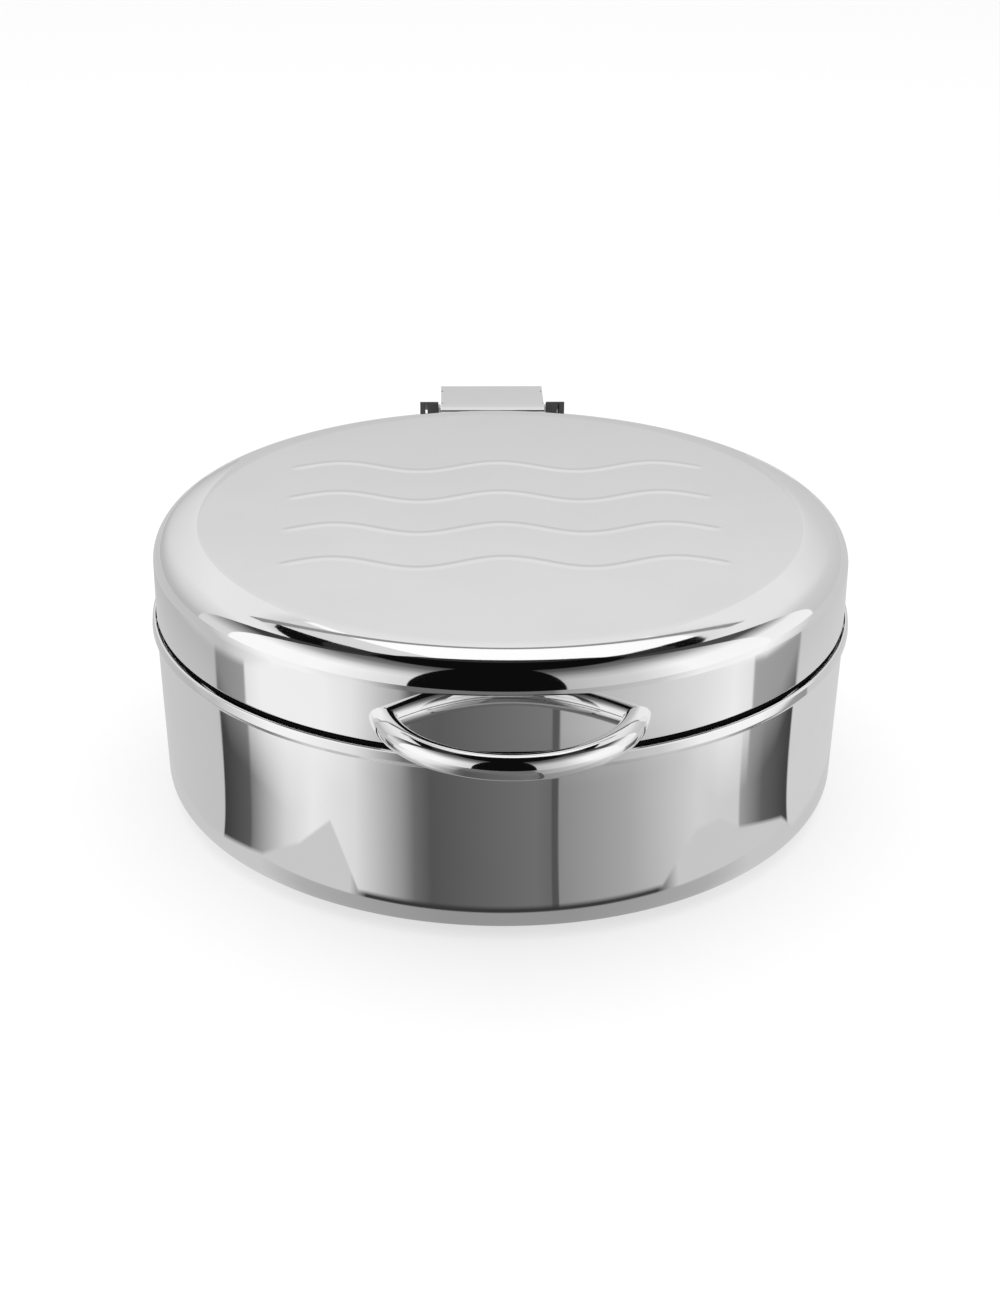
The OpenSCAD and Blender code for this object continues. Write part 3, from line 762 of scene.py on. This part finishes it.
@dataclass
class Lid:
    """The drawn lid with its wave lines, its handle and their fastenings.

    Attributes:
        wall_r: Outer radius of the wall.
        top_z: Height of the flat top.
        skirt_z: Height of the skirt's lower edge.
    """

    wall_r: float
    top_z: float
    skirt_z: float
    edge_h: float = 49.2 * MM
    crown_r: float = 47.0 * MM
    crown_slope: float = 22.0
    shoulder_r: float = 15.2 * MM
    least_slope: float = 0.05 * MM
    hem_bend: float = 1.5 * MM
    joggle_bend: float = 0.8 * MM
    skirt_in: float = 3.0 * MM
    sheet: float = 1.0 * MM
    bead_h: float = 0.5 * MM
    wave_pitch: float = 49.0 * MM
    wave_shift: float = 3.4 * MM
    wave_count: int = 4
    flat_in: float = 1.5 * MM
    sharp: float = 60.0

    @classmethod
    def from_frame(cls) -> "Lid":
        """Reads the lid's sizes from the solid."""
        low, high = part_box("lid_shell")
        return cls(wall_r=high[0], top_z=high[2] - cls.bead_h, skirt_z=low[2])

    def shell(self) -> bmesh.types.BMesh:
        """Makes the lid's shell.

        Returns:
            The closed mesh.
        """
        edge_z = self.top_z - self.edge_h
        skirt_r = self.wall_r - self.skirt_in
        slope = math.radians(self.crown_slope)
        crown_in = self.crown_r * math.tan(slope / 2)
        slope_len = crown_in + self.shoulder_r * math.tan(math.pi / 4 - slope / 2) + self.least_slope
        crown_at = self.wall_r - slope_len * math.cos(slope)
        bm = turned_skin([Corner(crown_at - crown_in - self.flat_in, self.top_z),
                          Corner(crown_at, self.top_z, self.crown_r),
                          Corner(self.wall_r, self.top_z - slope_len * math.sin(slope), self.shoulder_r),
                          Corner(self.wall_r, edge_z, self.hem_bend),
                          Corner(skirt_r, edge_z, self.joggle_bend), Corner(skirt_r, self.skirt_z)])
        rims = [edge for edge in bm.edges if edge.is_boundary and edge.verts[0].co.z > edge_z]
        for i in range(self.wave_count):
            middle_y = self.wave_shift + self.wave_pitch * (i - (self.wave_count - 1) / 2)
            rims += WaveLine(middle_y, self.top_z).add_to(bm)
        bmesh.ops.triangle_fill(bm, edges=list(set(rims)), use_beauty=True, use_dissolve=False,
                                normal=(0, 0, 1))
        weld(bm)
        bmesh.ops.solidify(bm, geom=bm.faces[:], thickness=self.sheet)
        soften_edges(bm, self.sheet * EDGE_SHARE, self.sharp)
        return bm

    def build(self, dresser: Dresser) -> None:
        """Makes the lid and dresses its fastenings.

        Args:
            dresser: Makes the pieces.
        """
        dresser.piece("lid_shell", self.shell(), POLISHED)
        Handle.from_frame(self.wall_r).build(dresser)
        for node in ("handle_screws", "handle_washers", "arm_screws"):
            dresser.keep(node, FASTENER)
        dresser.keep("arm_backing_plate", SATIN)
        # The seal's near-black finish is painted shade in the gap under the lid's edge.
        dresser.keep("lid_seal", SEAL_PAINTED_SHADE)


@dataclass
class Handle:
    """The bowed bar on the front of the lid.

    Attributes:
        wall_r: Outer radius of the lid's wall.
        front_y: Place of the bar's foremost point.
        bar_d: Diameter of the bar.
        middle_z: Height of the bar's middle.
    """

    wall_r: float
    front_y: float
    bar_d: float
    middle_z: float
    half_w: float = 63.5 * MM
    sunk: float = 0.35 * MM
    swing: float = 84.0
    steps_round: int = 48
    steps_along: int = 160

    @classmethod
    def from_frame(cls, wall_r: float) -> "Handle":
        """Reads the bar's sizes from its solid, for a lid whose wall has that outer radius."""
        low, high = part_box("lid_handle")
        return cls(wall_r=wall_r, front_y=low[1], bar_d=high[2] - low[2], middle_z=(low[2] + high[2]) / 2)

    def build(self, dresser: Dresser) -> None:
        """Sweeps the bar along its arc and cuts its ends to the lid's wall.

        Args:
            dresser: Makes the piece.
        """
        bow_y = self.front_y + self.bar_d / 2
        wall_y = -math.sqrt(self.wall_r ** 2 - self.half_w ** 2)
        sag = wall_y - bow_y
        arc_r = (self.half_w ** 2 + sag ** 2) / (2 * sag)
        centre = Vector((0.0, bow_y + arc_r, self.middle_z))
        swing = math.radians(self.swing)
        bm = bmesh.new()
        upright = Matrix.Translation((0, -arc_r, 0)) @ Matrix.Rotation(math.pi / 2, 4, "Y")
        start = Matrix.Translation(centre) @ Matrix.Rotation(-swing, 4, "Z") @ upright
        bmesh.ops.create_circle(bm, segments=self.steps_round, radius=self.bar_d / 2, matrix=start)
        bmesh.ops.spin(bm, geom=bm.verts[:] + bm.edges[:], cent=centre, axis=(0, 0, 1), angle=2 * swing,
                       steps=self.steps_along)
        weld(bm)
        for side in (-1, 1):
            out = Vector((side * self.half_w, wall_y, 0.0)).normalized()
            cut = out * (self.wall_r - self.sunk) + Vector((0.0, 0.0, self.middle_z))
            faces = [face for face in bm.faces if face.calc_center_median().x * side > 0]
            edges = {edge for face in faces for edge in face.edges}
            verts = {vert for face in faces for vert in face.verts}
            bmesh.ops.bisect_plane(bm, geom=[*verts, *edges, *faces], plane_co=cut, plane_no=-out,
                                   clear_outer=True, dist=WELD_DISTANCE)
        bmesh.ops.holes_fill(bm, edges=[edge for edge in bm.edges if edge.is_boundary], sides=0)
        bmesh.ops.recalc_face_normals(bm, faces=bm.faces[:])
        dresser.piece("lid_handle", bm, POLISHED)


@dataclass
class Spring:
    """A torsion spring on the hinge pin, with a leg on the rod and a leg under the arm's plate.

    Attributes:
        node: Name of the node that it stands for.
        side: -1 for the left spring and 1 for the right one.
        axis: A point on the hinge axis.
        outer_x: Place of the coil's outer end along the axis.
        coil_r: Radius of the coil, to the wire's middle.
        down_leg: Length of the leg on the rod.
        front_leg: Length of the leg under the plate.
    """

    node: str
    side: int
    axis: Vector
    outer_x: float
    coil_r: float
    down_leg: float
    front_leg: float
    wire_d: float = 2.2 * MM
    length: float = 18.0 * MM
    turns: float = 6.25
    wire_sides: int = 16
    steps_per_turn: int = 36

    @classmethod
    def from_frame(cls, node: str, side: int, axis: Vector) -> "Spring":
        """Reads the spring's sizes from its solid.

        Args:
            node: Name of the node.
            side: -1 for the left spring and 1 for the right one.
            axis: A point on the hinge axis.

        Returns:
            The spring.
        """
        low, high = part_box(node)
        wire_r = cls.wire_d / 2
        edge_x = low[0] if side < 0 else high[0]
        return cls(node, side, axis, outer_x=edge_x - side * wire_r, coil_r=high[1] - axis.y - wire_r,
                   down_leg=axis.z - low[2], front_leg=axis.y - low[1])

    def leg(self, bm: bmesh.types.BMesh, ring: list[bmesh.types.BMEdge], along: Vector) -> None:
        """Draws a straight leg out of an end of the coil.

        Args:
            bm: The spring's mesh.
            ring: The edges of the coil's end.
            along: Direction and length of the leg.
        """
        drawn = bmesh.ops.extrude_edge_only(bm, edges=ring)["geom"]
        verts = [item for item in drawn if isinstance(item, bmesh.types.BMVert)]
        bmesh.ops.translate(bm, verts=verts, vec=along)

    def build(self, dresser: Dresser) -> None:
        """Winds the spring and makes it a piece that is on no body.

        Args:
            dresser: Makes the piece.
        """
        bm = bmesh.new()
        start = Vector((self.outer_x, self.axis.y + self.coil_r, self.axis.z))
        bmesh.ops.create_circle(bm, segments=self.wire_sides, radius=self.wire_d / 2,
                                matrix=Matrix.Translation(start))
        first = bm.edges[:]
        steps = round(self.turns * self.steps_per_turn)
        pitch = Vector((-self.side * self.length / steps, 0.0, 0.0))
        wound = bmesh.ops.spin(bm, geom=bm.verts[:] + bm.edges[:], cent=self.axis, axis=(1, 0, 0),
                               angle=self.turns * 2 * math.pi, steps=steps, dvec=pitch)["geom_last"]
        last = [item for item in wound if isinstance(item, bmesh.types.BMEdge)]
        self.leg(bm, first, Vector((0.0, 0.0, -self.down_leg)))
        self.leg(bm, last, Vector((0.0, -self.front_leg, 0.0)))
        bmesh.ops.holes_fill(bm, edges=[edge for edge in bm.edges if edge.is_boundary], sides=0)
        weld(bm)
        piece = dresser.loose_piece(self.node, bm, SPRING)
        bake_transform(piece)


@dataclass
class Hinge:
    """The hinge at the back: the lid's folded arm, the base's bracket, the pin and the springs.

    Attributes:
        axis: A point on the hinge axis.
    """

    axis: Vector
    arm_edge: float = 0.35 * MM
    bracket_edge: float = 0.6 * MM
    edge_steps: int = 3
    edge_angle: float = 35.0

    @classmethod
    def from_frame(cls, frame: dict) -> "Hinge":
        """Reads the hinge axis from the lid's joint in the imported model."""
        joint = next(j for j in frame["joints"] if j["child"] == "lid")
        return cls(axis=Vector(joint["pos_m"]))

    def softened(self, dresser: Dresser, node: str, edge: float, finish: Finish) -> None:
        """Makes a copy of a node whose edges are rounded as a polisher leaves them.

        Args:
            dresser: Makes the piece.
            node: Name of the node.
            edge: Width of the rounding.
            finish: The piece's finish.
        """
        piece = dresser.piece(node, dresser.merged_copy(node), finish)
        rounding = piece.modifiers.new("edge_rounding", "BEVEL")
        rounding.width = edge
        rounding.segments = self.edge_steps
        rounding.limit_method = "ANGLE"
        rounding.angle_limit = math.radians(self.edge_angle)
        rounding.use_clamp_overlap = True
        piece.modifiers.move(len(piece.modifiers) - 1, 0)

    def build(self, dresser: Dresser) -> None:
        """Makes the arm, the bracket and the springs, and dresses the small parts.

        Args:
            dresser: Makes the pieces.
        """
        self.softened(dresser, "hinge_arm", self.arm_edge, POLISHED)
        self.softened(dresser, "hinge_bracket", self.bracket_edge, COATED)
        for node, side in (("spring_left", -1), ("spring_right", 1)):
            Spring.from_frame(node, side, self.axis).build(dresser)
        for node in ("bracket_screws", "hinge_pin", "spring_rod"):
            dresser.keep(node, FASTENER)
        for node in ("hinge_bushes", "spring_sleeve"):
            dresser.keep(node, ACETAL)
        dresser.keep("pin_rings", SPRING)
        dresser.keep("bracket_backing_plate", SATIN)


# Studio

class Tone(Enum):
    """Brightness of the cards."""

    BLACK = 0.004
    SHADE = 0.03
    LINE = 0.28
    GREY = 0.75
    WHITE = 1.1


@dataclass(frozen=True)
class Card:
    """A card that stands round the dish and shows only in its mirrors.

    Angles round the dish count from the camera's side, to the right, and all angles are in degrees.

    Attributes:
        name: What it is.
        start: Angle round the dish where it starts.
        end: Angle where it ends.
        rising: Brightness by angle above the table, from its lower edge to its upper one.
        across: Brightness by angle round the dish, which the other is multiplied by.
        away: Distance from the dish, as a share of the tent's radius.
        facing: Angle that a flat card faces, or None for one that curves round the dish.
    """

    name: str
    start: float
    end: float
    rising: Stops
    across: Stops = ()
    away: float = 1.0
    facing: float | None = None


def plain(low: float, high: float, tone: Tone) -> Stops:
    """Gives the levels of a card of one tone between two angles above the table."""
    return ((low, tone.value), (high, tone.value))


CARDS = (
    Card("front_flag", -29, 18, plain(0, 73, Tone.BLACK)),
    Card("left_softbox", -92, -29,
         ((0, 1.05), (30, 1.05), (40, 0.83), (50, 0.42), (60, 0.18), (73, 0.03)),
         ((-92, 1.0), (-56, 1.0), (-29, 0.70))),
    Card("right_softbox", 18, 88,
         ((0, 1.05), (30, 1.03), (40, 0.80), (50, 0.44), (60, 0.18), (73, 0.03)),
         ((18, 0.50), (40, 0.68), (58, 1.0), (88, 1.0))),
    Card("left_gap", -107, -92, ((0, 0.75), (14, 0.72), (26, 0.40), (40, 0.05), (73, 0.03))),
    Card("right_gap", 88, 110, ((0, 0.97), (25, 0.95), (33, 0.52), (42, 0.08), (73, 0.03))),
    Card("left_panel", -178, -107,
         ((0, 0.50), (8, 0.54), (16, 0.64), (24, 0.73), (42, 0.88), (50.5, 0.86), (53.5, 0.68)),
         facing=-115),
    Card("right_panel", 110, 178,
         ((0, 0.60), (25, 0.66), (40, 0.85), (50, 0.88), (56, 0.80)), facing=115),
    Card("left_panel_edge", -153, -107, plain(53.5, 61, Tone.BLACK), facing=-115),
    Card("right_panel_edge", 110, 150, plain(56, 61, Tone.BLACK), facing=115),
    Card("back_panel", 166, 192, ((0, 0.60), (19, 0.64), (26, 0.77), (45, 0.86))),
    Card("back_panel_edge", 146, 214, plain(45, 47.5, Tone.LINE)),
    Card("back_light", 150, 207, plain(30, 63.5, Tone.WHITE), away=3.0),
    Card("back_light_left", 193, 207, plain(30, 63.5, Tone.GREY), away=2.9),
    Card("back_shade", 150, 207, plain(63.5, 72, Tone.SHADE), away=3.0),
    Card("left_shade", -153, -90, plain(30, 72, Tone.SHADE), away=3.0),
    Card("right_shade", 86, 150, plain(30, 72, Tone.SHADE), away=3.0),
)


@dataclass(frozen=True)
class TableRing:
    """The glow that the table's card shows only to the dish's walls from one distance on, as painted
    reflections.

    Both go by the direction that the wall sends a ray in, as degrees from the camera's side, to the right.

    Attributes:
        blend: Width over which the ring's greys blend in.
        starts: Distance from the dish's axis where they begin.
        greys: Brightness.
    """

    blend: float
    starts: Stops
    greys: Stops


# Painted shade: the ring by the foot glows in dim greys that stand in for the floor's shadow next to the
# dish.
FOOT_SHADE_RING = TableRing(
    0.01, ((-180, 0.150), (180, 0.150)), (
        (-90, 0.62), (-70, 0.46), (-45, 0.38), (-20, 0.32), (20, 0.32), (45, 0.38), (70, 0.46),
        (90, 0.62)))
# Painted shade: a thin, nearly black band at the front, which the wall's foot shows as a dark line of shade.
SHADE_LINE_RING = TableRing(
    0.001, ((-180, 0.2185), (180, 0.2185)), (
        (-52, 0.63), (-46, 0.04), (50, 0.04), (58, 0.63)))
NEAR_RING = TableRing(
    0.004, (
        (-120, 0.210), (-88.8, 0.220), (-71.7, 0.246), (-59.3, 0.279), (-49, 0.2215), (52, 0.2215),
        (66, 0.262), (76, 0.262), (86, 0.2435), (111, 0.2244), (118, 0.210)), (
        (-180, 0.62), (-111, 0.58), (-110.2, 0.05), (-99, 0.095), (-95.2, 0.11), (-94, 0.20),
        (-78, 0.70), (-66, 0.89), (-50, 0.76), (-34, 0.32), (-29.5, 0.16), (-24, 0.095),
        (9, 0.17), (14, 0.15), (14.4, 0.09), (16.2, 0.09), (16.6, 0.28), (40, 0.42), (66, 0.69),
        (85, 0.66), (86, 0.36), (98, 0.125), (114.5, 0.055), (115.5, 0.68), (180, 0.66)))
MIDDLE_RING = TableRing(
    0.09, (
        (-112, 0.34), (-105, 0.30), (-75, 0.27), (-60, 0.30), (-45, 0.34), (60, 0.34),
        (75, 0.28), (95, 0.28), (105, 0.30), (114, 0.34)), (
        (-180, 0.52), (-111, 0.50), (-110, 0.25), (-94.6, 0.34), (-93.6, 0.85), (-86, 0.95),
        (-60, 0.95), (-50, 0.85), (-34, 0.42), (-30, 0.12), (-21, 0.112), (14, 0.20),
        (14.6, 0.10), (16.4, 0.10), (17, 0.42), (66, 0.80), (80, 0.93), (88.5, 0.85), (89.5, 0.38),
        (115.5, 0.33), (116.8, 0.62), (180, 0.62)))
FAR_RING = TableRing(
    0.012, (
        (-112, 0.426), (-95, 0.434), (-70, 0.470), (-42, 0.490), (42, 0.490), (70, 0.470),
        (95, 0.443), (180, 0.440)), (
        (-180, 0.62), (-105, 0.57), (-79, 1.0), (-66, 1.0), (-48, 0.83), (-42, 0.64),
        (-31, 0.17), (14, 0.17), (17, 0.36), (48, 0.64), (62.5, 0.96), (88, 1.03), (115, 0.64),
        (180, 0.62)))
TABLE_RINGS = (FOOT_SHADE_RING, SHADE_LINE_RING, NEAR_RING, MIDDLE_RING, FAR_RING)


@dataclass
class Studio:
    """Camera, light, floor and the cards that the mirrors show.

    Attributes:
        wall_r: Radius of the dish's wall, which mirrors the table.
        aim_z: Height that the camera looks at.
        distance: Distance of the camera from there.
        azimuth: Degrees of the camera round the dish, to the right.
        elevation: Degrees of the camera above the table.
        roll: Degrees by which the picture is turned clockwise.
        lens: Focal length, in millimetres on a picture side of sensor millimetres.
        tent_r: Distance of the cards from the dish.
        roof_above: Angle above the table at which the roof closes the tent.
    """

    wall_r: float
    aim_z: float = 75.6 * MM
    distance: float = 1.300
    azimuth: float = -1.7
    elevation: float = 25.4
    roll: float = 0.46
    lens: float = 61.4
    sensor: float = 36.0
    tent_r: float = 4.0
    roof_above: float = 70.0
    roof_spread: float = 1.05
    roof_sides: int = 48
    floor_half: float = 6.0
    floor_grey: float = 0.93
    floor_glow: float = 0.6
    table_in: float = 0.172
    table_lift: float = 0.5 * MM
    table_steps: int = 180
    lamp_z: float = 2.2
    lamp_size: float = 2.4
    lamp_power: float = 20.0
    ambient: float = 0.95

    def camera(self) -> None:
        """Sets the camera at the photo's viewing angle."""
        data = bpy.data.cameras.new("camera")
        data.lens = self.lens
        data.sensor_width = self.sensor
        camera = placed("camera", data)
        turn, lift = math.radians(self.azimuth), math.radians(self.elevation)
        out = Vector((math.sin(turn) * math.cos(lift), -math.cos(turn) * math.cos(lift), math.sin(lift)))
        camera.location = Vector((0.0, 0.0, self.aim_z)) + self.distance * out
        camera.rotation_mode = "QUATERNION"
        level = (-out).to_track_quat("-Z", "Y")
        camera.rotation_quaternion = level @ Quaternion((0, 0, 1), math.radians(self.roll))
        bpy.context.scene.camera = camera

    def world(self) -> None:
        """Makes the world white to the camera and to mirrors, and a plain light for the rest."""
        world = bpy.data.worlds.new("white_room")
        world.use_nodes = True
        tree = Tree(world.node_tree)
        light = tree.add("Background", {"Color": WHITE_LIGHT, "Strength": self.ambient})
        view = tree.add("Background", {"Color": WHITE_LIGHT, "Strength": 1.0})
        mix = tree.add("MixShader", {0: tree.seen(), 1: light.outputs[0], 2: view.outputs[0]})
        tree.add("OutputWorld", {"Surface": mix.outputs[0]})
        bpy.context.scene.world = world

    def lamp(self) -> None:
        """Hangs a broad soft lamp over the dish, which the mirrors don't show."""
        data = bpy.data.lights.new("overhead_lamp", "AREA")
        data.shape = "SQUARE"
        data.size = self.lamp_size
        data.energy = self.lamp_power
        lamp = placed("overhead_lamp", data)
        lamp.location = (0.0, 0.0, self.lamp_z)
        lamp.visible_glossy = False

    def floor(self) -> None:
        """Lays a pale floor that keeps the dish's shadow."""
        bm = bmesh.new()
        bmesh.ops.create_grid(bm, x_segments=1, y_segments=1, size=self.floor_half)
        material, tree = new_material("pale_floor")
        paper = tree.add("BsdfDiffuse", {"Color": (self.floor_grey, self.floor_grey, self.floor_grey, 1.0)})
        white = tree.add("Emission", {"Color": WHITE_LIGHT, "Strength": 1.0})
        share = tree.math("MULTIPLY", tree.seen(), self.floor_glow)
        mix = tree.add("MixShader", {0: share, 1: paper.outputs[0], 2: white.outputs[0]})
        tree.add("OutputMaterial", {"Surface": mix.outputs[0]})
        self.staged("floor", bm, material)

    def staged(self, name: str, bm: bmesh.types.BMesh, material: bpy.types.Material) -> bpy.types.Object:
        """Makes an object of the studio.

        Args:
            name: Its name.
            bm: Its mesh, which is freed.
            material: Its material.

        Returns:
            The object.
        """
        obj = meshed(name, bm, material)
        return obj

    def mirrored(self, bm: bmesh.types.BMesh, material: bpy.types.Material, tree: Tree, level: Feed) -> None:
        """Makes a card that glows, shows in mirrors and lights nothing else.

        Args:
            bm: Its mesh, which is freed.
            material: Its material, whose name it takes.
            tree: The material's tree.
            level: Its brightness.
        """
        light = tree.add("Emission", {"Color": WHITE_LIGHT, "Strength": level})
        tree.add("OutputMaterial", {"Surface": light.outputs[0]})
        card = self.staged(material.name, bm, material)
        for ray in ("camera", "diffuse", "transmission", "volume_scatter", "shadow"):
            setattr(card, f"visible_{ray}", False)

    def height(self, card: Card, above: float) -> float:
        """Gives the height on a card of an angle above the table."""
        return self.tent_r * card.away * math.tan(math.radians(above))

    def foot(self, card: Card, around: float) -> Vector:
        """Gives the place on the table under a card.

        Args:
            card: The card.
            around: Angle round the dish.

        Returns:
            The place.
        """
        reach = self.tent_r * card.away
        if card.facing is not None:
            reach /= math.cos(math.radians(around - card.facing))
        turn = math.radians(around)
        return Vector((reach * math.sin(turn), -reach * math.cos(turn), 0.0))

    def stand(self, card: Card) -> None:
        """Stands a card beside the dish.

        Args:
            card: The card.
        """
        bm = bmesh.new()
        start, end = self.foot(card, card.start), self.foot(card, card.end)
        heights = [self.height(card, above) for above, _ in (card.rising[0], card.rising[-1])]
        verts = [bm.verts.new(start + Vector((0.0, 0.0, height))) for height in heights]
        edge = bm.edges.new(verts)
        if card.facing is None:
            turn = card.end - card.start
            bmesh.ops.spin(bm, geom=[*verts, edge], cent=(0, 0, 0), axis=(0, 0, 1), angle=math.radians(turn),
                           steps=math.ceil(turn))
        else:
            drawn = bmesh.ops.extrude_edge_only(bm, edges=[edge])["geom"]
            far = [item for item in drawn if isinstance(item, bmesh.types.BMVert)]
            bmesh.ops.translate(bm, verts=far, vec=end - start)
        material, tree = new_material(card.name)
        rising = tuple((self.height(card, above), grey) for above, grey in card.rising)
        level = tree.level(tree.place()["Z"], rising)
        if card.across:
            level = tree.math("MULTIPLY", level, tree.level(tree.around(), card.across))
        self.mirrored(bm, material, tree, level)

    def roof(self) -> None:
        """Closes the tent with a black roof."""
        bm = bmesh.new()
        above = self.tent_r * math.tan(math.radians(self.roof_above))
        bmesh.ops.create_circle(bm, cap_ends=True, segments=self.roof_sides,
                                radius=self.tent_r * self.roof_spread,
                                matrix=Matrix.Translation((0.0, 0.0, above)))
        self.mirrored(bm, *new_material("roof"), Tone.BLACK.value)

    def table(self) -> None:
        """Lays a glowing ring on the table that only mirrors see, whose greys the dish's walls show as
        upright bands of painted reflection.
        """
        bm = bmesh.new()
        verts = [bm.verts.new((0.0, -r, self.table_lift)) for r in (self.table_in, self.tent_r)]
        edge = bm.edges.new(verts)
        bmesh.ops.spin(bm, geom=[*verts, edge], cent=(0, 0, 0), axis=(0, 0, 1), angle=2 * math.pi,
                       steps=self.table_steps, use_merge=True)
        material, tree = new_material("table_greys")
        reach = tree.from_axis(tree.place())
        # A ray from the round wall runs in a wider direction than the angle at which it lands
        twice = tree.math("MULTIPLY", reach, 2.0)
        widening = tree.math("DIVIDE", twice, tree.math("SUBTRACT", twice, self.wall_r))
        mirrored_way = tree.math("MULTIPLY", tree.around(), widening)
        level = 0.0
        # Painted reflections: each ring's greys glow by the direction of the wall's ray
        for ring in TABLE_RINGS:
            into = tree.math("SUBTRACT", reach, tree.level(mirrored_way, ring.starts))
            level = tree.remap(into, 0.0, ring.blend, level, tree.level(mirrored_way, ring.greys))
        self.mirrored(bm, material, tree, level)

    def build(self) -> None:
        """Sets up the whole studio."""
        bpy.context.scene.view_settings.view_transform = "Standard"
        self.camera()
        self.world()
        self.lamp()
        self.floor()
        self.roof()
        self.table()
        for card in CARDS:
            self.stand(card)


def main() -> None:
    """Builds the dish's looks and the studio."""
    logging.basicConfig(level=logging.INFO, format="%(name)s: %(message)s")
    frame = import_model()
    lid = Lid.from_frame()
    Studio(wall_r=lid.wall_r).build()
    dresser = Dresser(frame)
    WaterPan.from_frame().build(dresser)
    FoodPan.from_frame().build(dresser)
    lid.build(dresser)
    Hinge.from_frame(frame).build(dresser)


if __name__ == "__main__":
    main()
